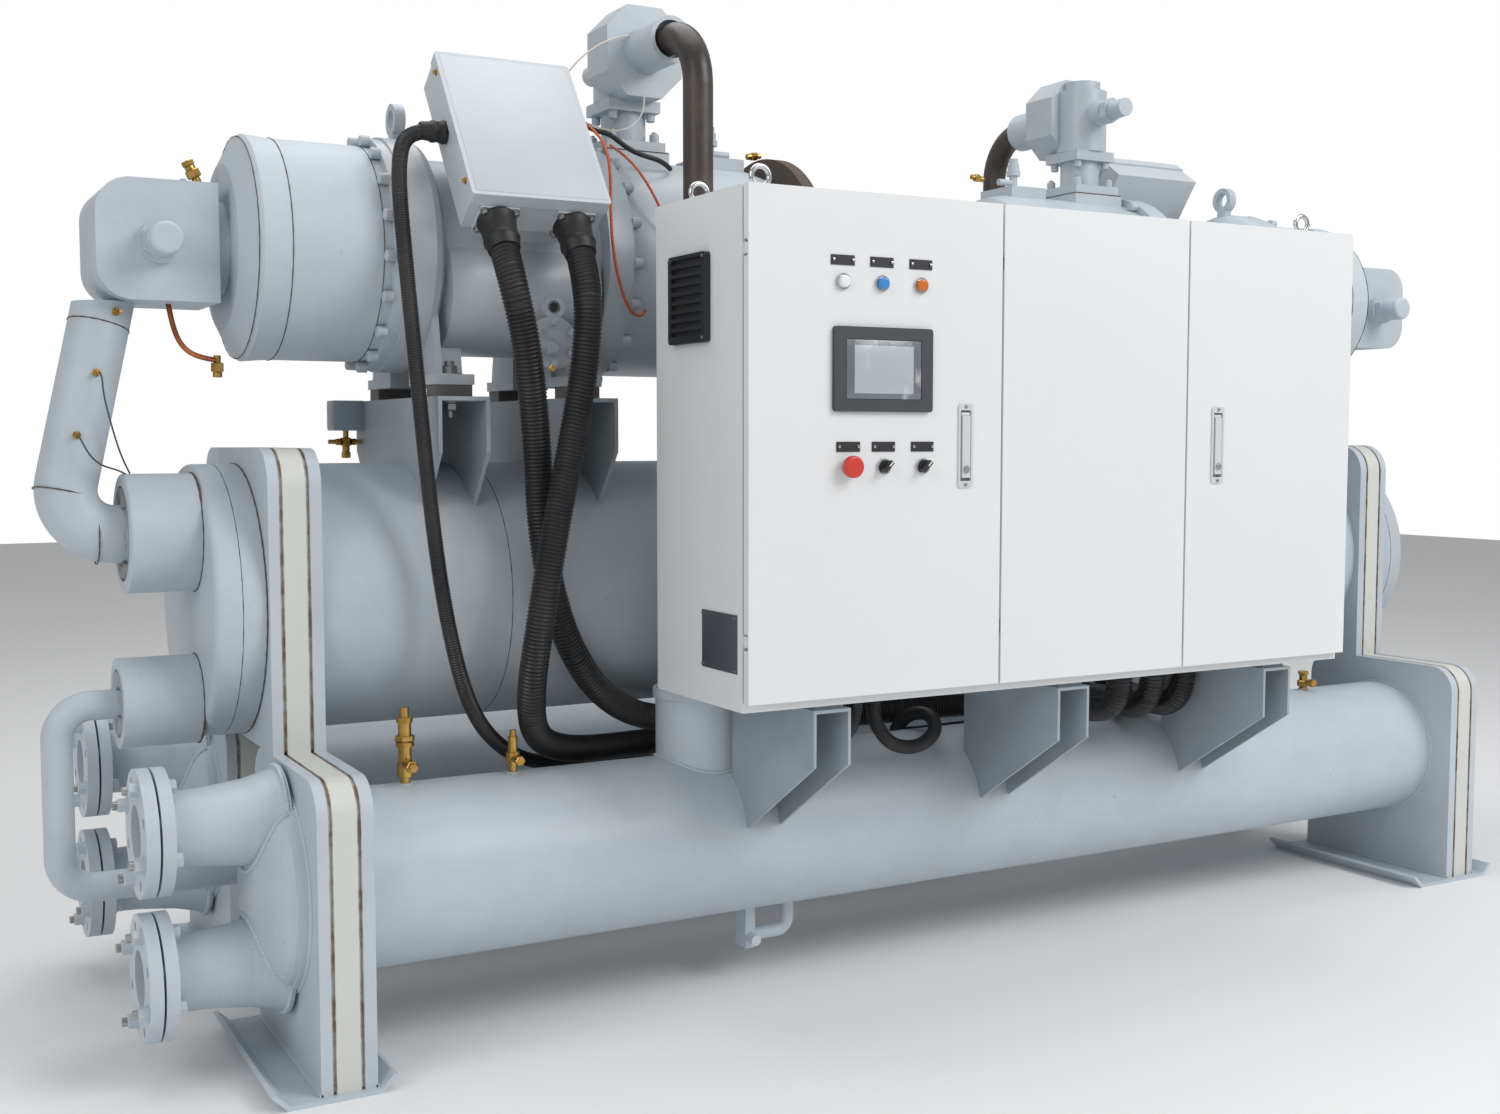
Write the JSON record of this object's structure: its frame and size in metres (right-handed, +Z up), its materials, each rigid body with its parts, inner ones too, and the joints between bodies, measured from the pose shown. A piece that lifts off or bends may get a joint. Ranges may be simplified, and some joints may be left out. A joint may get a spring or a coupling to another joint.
{
  "type": "ground source heat pump",
  "caption": "Water to water screw heat pump: insulated evaporator over twin condenser shells, paired compressors on top, doored electrical cabinet.",
  "frame": {"origin": "middle of the whole machine's outline at floor level", "axes": "+X along the vessels away from the water flanges, +Y to the back away from the cabinet doors, +Z up"},
  "size_m": [3.595, 1.392, 2.017],
  "materials": {
    "vessel_paint": "satin",
    "vessel_insulation": "satin foam sheet",
    "cabinet_paint": "fine textured powder coat",
    "bracket_paint": "satin",
    "dark_steel": "oiled dark steel",
    "conduit_black": "ribbed plastic",
    "brass": "turned",
    "chrome": "polished",
    "black_plastic": "moulded",
    "panel_bezel": "moulded",
    "lamp_lens": "clear lens",
    "red_plastic": "moulded",
    "handle_grey": "satin",
    "legend_plate": "engraving plate, blank",
    "dark_foam": "closed cell foam sheet"
  },
  "bodies": {
    "machine": {"cabinet_body": "cabinet_paint", "cabinet_brackets": "bracket_paint", "cabinet_lifting_rings": "chrome", "charging_valves": "brass", "compressor_saddles": "bracket_paint", "condenser_end_plates": "vessel_paint", "condenser_shells": "vessel_paint", "discharge_pipes": "dark_steel", "discharge_stubs": "vessel_paint", "discharge_valves": "vessel_paint", "evaporator_end_plates": "vessel_insulation", "evaporator_headers": "vessel_insulation", "evaporator_shell": "vessel_insulation", "fan_filter": "black_plastic", "feet": "vessel_paint", "left_control_conduit": "conduit_black", "left_power_conduit_1": "conduit_black", "left_power_conduit_2": "conduit_black", "liquid_lines": "vessel_insulation", "motor_housings": "vessel_insulation", "oil_separators": "vessel_paint", "right_control_conduit": "conduit_black", "right_power_conduit_1": "conduit_black", "right_power_conduit_2": "conduit_black", "rotor_housings": "vessel_paint", "separator_end_cover": "dark_foam", "suction_pipes": "vessel_insulation", "suction_valves": "vessel_insulation", "terminal_boxes": "vessel_paint", "water_boxes": "vessel_paint", "water_flanges": "vessel_paint"},
    "left_door_leaf": {"left_door": "cabinet_paint", "operator_panel": "panel_bezel", "signal_lamps": "lamp_lens", "legend_plates": "legend_plate", "switch_collars": "chrome", "left_handle_plate": "handle_grey"},
    "middle_door_leaf": {"middle_door": "cabinet_paint"},
    "right_door_leaf": {"right_door": "cabinet_paint", "right_handle_plate": "handle_grey"},
    "left_handle_lever": {"left_handle": "handle_grey"},
    "right_handle_lever": {"right_handle": "handle_grey"},
    "stop_button": {"emergency_stop": "red_plastic"},
    "left_selector_knob": {"left_selector": "black_plastic"},
    "right_selector_knob": {"right_selector": "black_plastic"}
  },
  "joints": [
    {"name": "left_door_hinge", "type": "hinge", "parent": "machine", "child": "left_door_leaf", "pos_m": [-0.7155, -0.665, 1.1], "axis": [0, 0, -1], "range_deg": [0, 110]},
    {"name": "middle_door_hinge", "type": "hinge", "parent": "machine", "child": "middle_door_leaf", "pos_m": [-0.161, -0.665, 1.1], "axis": [0, 0, -1], "range_deg": [0, 110]},
    {"name": "right_door_hinge", "type": "hinge", "parent": "machine", "child": "right_door_leaf", "pos_m": [0.7745, -0.665, 1.1], "axis": [0, 0, 1], "range_deg": [0, 110]},
    {"name": "left_handle_lift", "type": "hinge", "parent": "left_door_leaf", "child": "left_handle_lever", "pos_m": [-0.2555, -0.667, 1.1605], "axis": [-1, 0, 0], "range_deg": [0, 40]},
    {"name": "right_handle_lift", "type": "hinge", "parent": "right_door_leaf", "child": "right_handle_lever", "pos_m": [0.3885, -0.667, 1.1605], "axis": [-1, 0, 0], "range_deg": [0, 40]},
    {"name": "emergency_stop_press", "type": "slide", "parent": "left_door_leaf", "child": "stop_button", "axis": [0, 1, 0], "range_m": [0, 0.004]},
    {"name": "left_selector_turn", "type": "hinge", "parent": "left_door_leaf", "child": "left_selector_knob", "pos_m": [-0.4395, -0.678, 1.065], "axis": [0, 1, 0], "range_deg": [0, 90]},
    {"name": "right_selector_turn", "type": "hinge", "parent": "left_door_leaf", "child": "right_selector_knob", "pos_m": [-0.3535, -0.678, 1.065], "axis": [0, 1, 0], "range_deg": [0, 90]}
  ]
}
